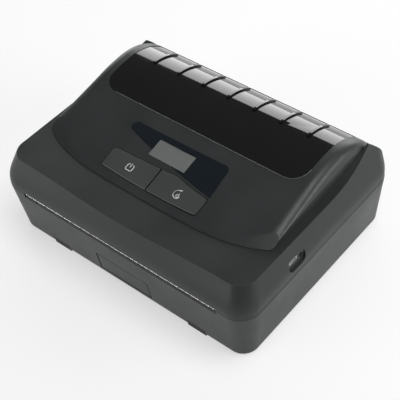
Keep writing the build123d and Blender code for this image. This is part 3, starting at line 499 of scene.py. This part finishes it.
# %% [markdown]
# ## Printed icons
#
# The left key has a power sign: a rounded ring, open at the top, with a bar in the opening.
# The right key has a feed sign: a curled sheet of paper with a small drop shape inside it.
# Both are printed in pale grey ink.

# %% Power and feed icons
ink = moulded("pale_ink", (0.60, 0.61, 0.60), 0.6, grain=0.1, wear=0.0)
POWER_AT = (-14.6, 10.6)
FEED_AT = (14.4, 10.4)


def power_strokes():
    """A rounded ring that is open at the top, and a bar in the opening."""
    u, v = POWER_AT
    ring = [(u - 0.75, v + 1.55)]
    ring += arc((u - 1.0, v + 0.75), 0.8, 90, 180, 5)
    ring += arc((u - 1.0, v - 0.95), 0.8, 180, 270, 5)
    ring += arc((u + 1.0, v - 0.95), 0.8, 270, 360, 5)
    ring += arc((u + 1.0, v + 0.75), 0.8, 0, 90, 5)
    ring += [(u + 0.75, v + 1.55)]
    bar = [(u, v + 2.3), (u, v - 0.1)]
    return [ring, bar]


def feed_strokes():
    """A curled sheet, and a small drop inside it."""
    u, v = FEED_AT
    sheet = arc((u + 0.9, v - 0.1), 2.6, 120, 262, 14, 0.9)
    curl = arc((u + 0.2, v - 0.2), 1.9, 75, 235, 12, 1.15)
    tip = [sheet[0], (u + 1.5, v + 2.6), curl[0]]
    foot = [sheet[-1], (u + 1.5, v - 2.2), (u + 2.1, v - 1.0)]
    drop = arc((u + 0.9, v - 0.9), 0.75, 30, 330, 12)
    drop = [(u + 1.0, v + 0.9)] + drop + [(u + 1.0, v + 0.9)]
    return [sheet, tip, curl, foot, drop]


key_lift = KEY_TOP + PRINT_LIFT
printed_mark("power_icon", power_strokes(), 0.38, key_lift, "power_key", ink)
printed_mark("feed_icon", feed_strokes(), 0.34, key_lift, "feed_key", ink)
print("icons printed")

# %% [markdown]
# ## Console line and lit edges
#
# A fine groove marks the console's left side, from the key up to the tip of the lens. No groove is cut: its
# shade is painted as a flat near-black ribbon.
# The keys have a rounded lower edge that catches the light, and so has the panel where it meets
# the window. These edges are thin beads that follow the CAD edges, because a real highlight needs
# a real round edge for the light to run along. The beads are also a lighter grey than the plastic
# beside them, so part of their highlight is painted into their colour.

# %% Groove and beads


def bead(name, points, radius, body, material, sides=8):
    """A thin round bead along a path of points in metres."""
    verts = []
    faces = []
    count = len(points)
    for index, point in enumerate(points):
        before = points[max(index - 1, 0)]
        after = points[min(index + 1, count - 1)]
        run = (after - before).normalized()
        side = run.cross(slope_out).normalized()
        up = side.cross(run).normalized()
        for step in range(sides):
            angle = 2 * math.pi * step / sides
            verts.append(point + (side * math.cos(angle) + up * math.sin(angle)) * radius * MM)
    for index in range(count - 1):
        for step in range(sides):
            a = index * sides + step
            b = index * sides + (step + 1) % sides
            faces.append((a, b, b + sides, a + sides))
    faces.append(tuple(reversed(range(sides))))
    faces.append(tuple(range((count - 1) * sides, count * sides)))
    piece = add_piece(name, verts, faces, body, material)
    for face in piece.data.polygons:
        face.use_smooth = True
    return piece


def bowed(points, steps=24):
    """A smooth path through three (u, v) points, as a parabola."""
    (u0, v0), (u1, v1), (u2, v2) = points
    path = []
    for step in range(steps + 1):
        t = step / steps
        a = (1 - t) * (1 - 2 * t)
        b = 4 * t * (1 - t)
        c = t * (2 * t - 1)
        path.append((a * u0 + b * u1 + c * u2, a * v0 + b * v1 + c * v2))
    return path


def hump_height(y):
    """Height of the hump's surface at a distance behind the front face."""
    join_y = CROWN_Y - RISE_RADIUS * math.sin(SLOPE)
    if y < join_y:
        join_z = CROWN_Z - RISE_RADIUS + RISE_RADIUS * math.cos(SLOPE)
        return join_z - (join_y - y) * math.tan(SLOPE)
    radius = RISE_RADIUS if y < CROWN_Y else BACK_RADIUS
    return CROWN_Z - radius + math.sqrt(radius ** 2 - (y - CROWN_Y) ** 2)


# Painted shade: the console groove is a flat near-black ribbon lying on the slope, with no recess cut.
groove_painted_shade = moulded("groove_shadow", (0.010, 0.010, 0.010), 0.7, grain=0.1, wear=0.0)
groove = [(-29.9, 17.0), (-30.4, 22.5), (-30.2, 28.0)]
printed_mark("console_groove_painted_shade", [bowed(groove)], 0.22, PRINT_LIFT, "lid", groove_painted_shade)

# Painted highlight: the beads are a lighter grey than the plastic around them, added on top of the light
# that their round shape catches.
edge_painted_highlight = moulded("edge_bead_painted_highlight", (0.085, 0.09, 0.09), 0.3, grain=0.05, wear=0.0)
power_edge = bowed([(-27.9, 5.75), (-14.0, 4.95), (-0.9, 4.75)])
feed_edge = bowed([(0.5, 4.75), (14.0, 4.95), (27.6, 5.65)])
KEY_EDGE_LIFT = 0.24
KEY_EDGE_RADIUS = 0.14
for key, edge in (("power_key", power_edge), ("feed_key", feed_edge)):
    line = [on_slope(u, v, KEY_EDGE_LIFT) for u, v in edge]
    bead(f"{key}_edge", line, KEY_EDGE_RADIUS, key, edge_painted_highlight)

WINDOW_FRONT = 61.6
WINDOW_HALF = 59.9
WINDOW_RADIUS = 9.0
EDGE_OUT = 0.2
EDGE_STEP = 2.55
EDGE_LIFT = 0.06
corner_x = WINDOW_HALF - WINDOW_RADIUS
straight = [(-corner_x + EDGE_STEP * step, WINDOW_FRONT - EDGE_OUT) for step in range(40)]
corner = arc((corner_x, WINDOW_FRONT + WINDOW_RADIUS), WINDOW_RADIUS + EDGE_OUT, -90, 0, 16)
window_edge = [at(x, y, hump_height(y) + EDGE_LIFT) for x, y in straight + corner]
bead("window_edge", window_edge, 0.15, "lid", edge_painted_highlight)
print("beads laid")

# %% [markdown]
# ## The tear edge
#
# Labels are torn against a saw-toothed steel strip over the slot.
# Its teeth lean out and down, so each one catches the front light as a small spark.
# The strip is one row of teeth made by a loop.

# %% Tear edge
TEAR_HALF = 58.8
TEAR_PITCH = 1.2
TEAR_LOW = 31.32
TEAR_HIGH = 31.95
TEAR_TIP_Y = 0.02
TEAR_BACK_Y = 0.42
tear_steel = metal("bright_steel", (0.9, 0.9, 0.9), 0.28, (1, 30, 30))


def make_tear_edge():
    """A row of teeth that lean out and down from the strip."""
    verts = []
    faces = []
    count = int(2 * TEAR_HALF / TEAR_PITCH)
    for index in range(count):
        x = -TEAR_HALF + index * TEAR_PITCH
        tip = at(x + TEAR_PITCH / 2, TEAR_TIP_Y, TEAR_LOW)
        base = len(verts)
        verts += [at(x, TEAR_BACK_Y, TEAR_HIGH), at(x + TEAR_PITCH, TEAR_BACK_Y, TEAR_HIGH), tip]
        verts += [at(x, TEAR_BACK_Y, TEAR_LOW), at(x + TEAR_PITCH, TEAR_BACK_Y, TEAR_LOW)]
        faces += [(base, base + 2, base + 1), (base, base + 3, base + 2)]
        faces += [(base + 1, base + 2, base + 4), (base + 2, base + 3, base + 4)]
    return add_piece("tear_edge", verts, faces, "lid", tear_steel)


print("tear edge teeth", len(make_tear_edge().data.polygons) // 4)

# %% [markdown]
# ## Closing
#

print("dressing done")
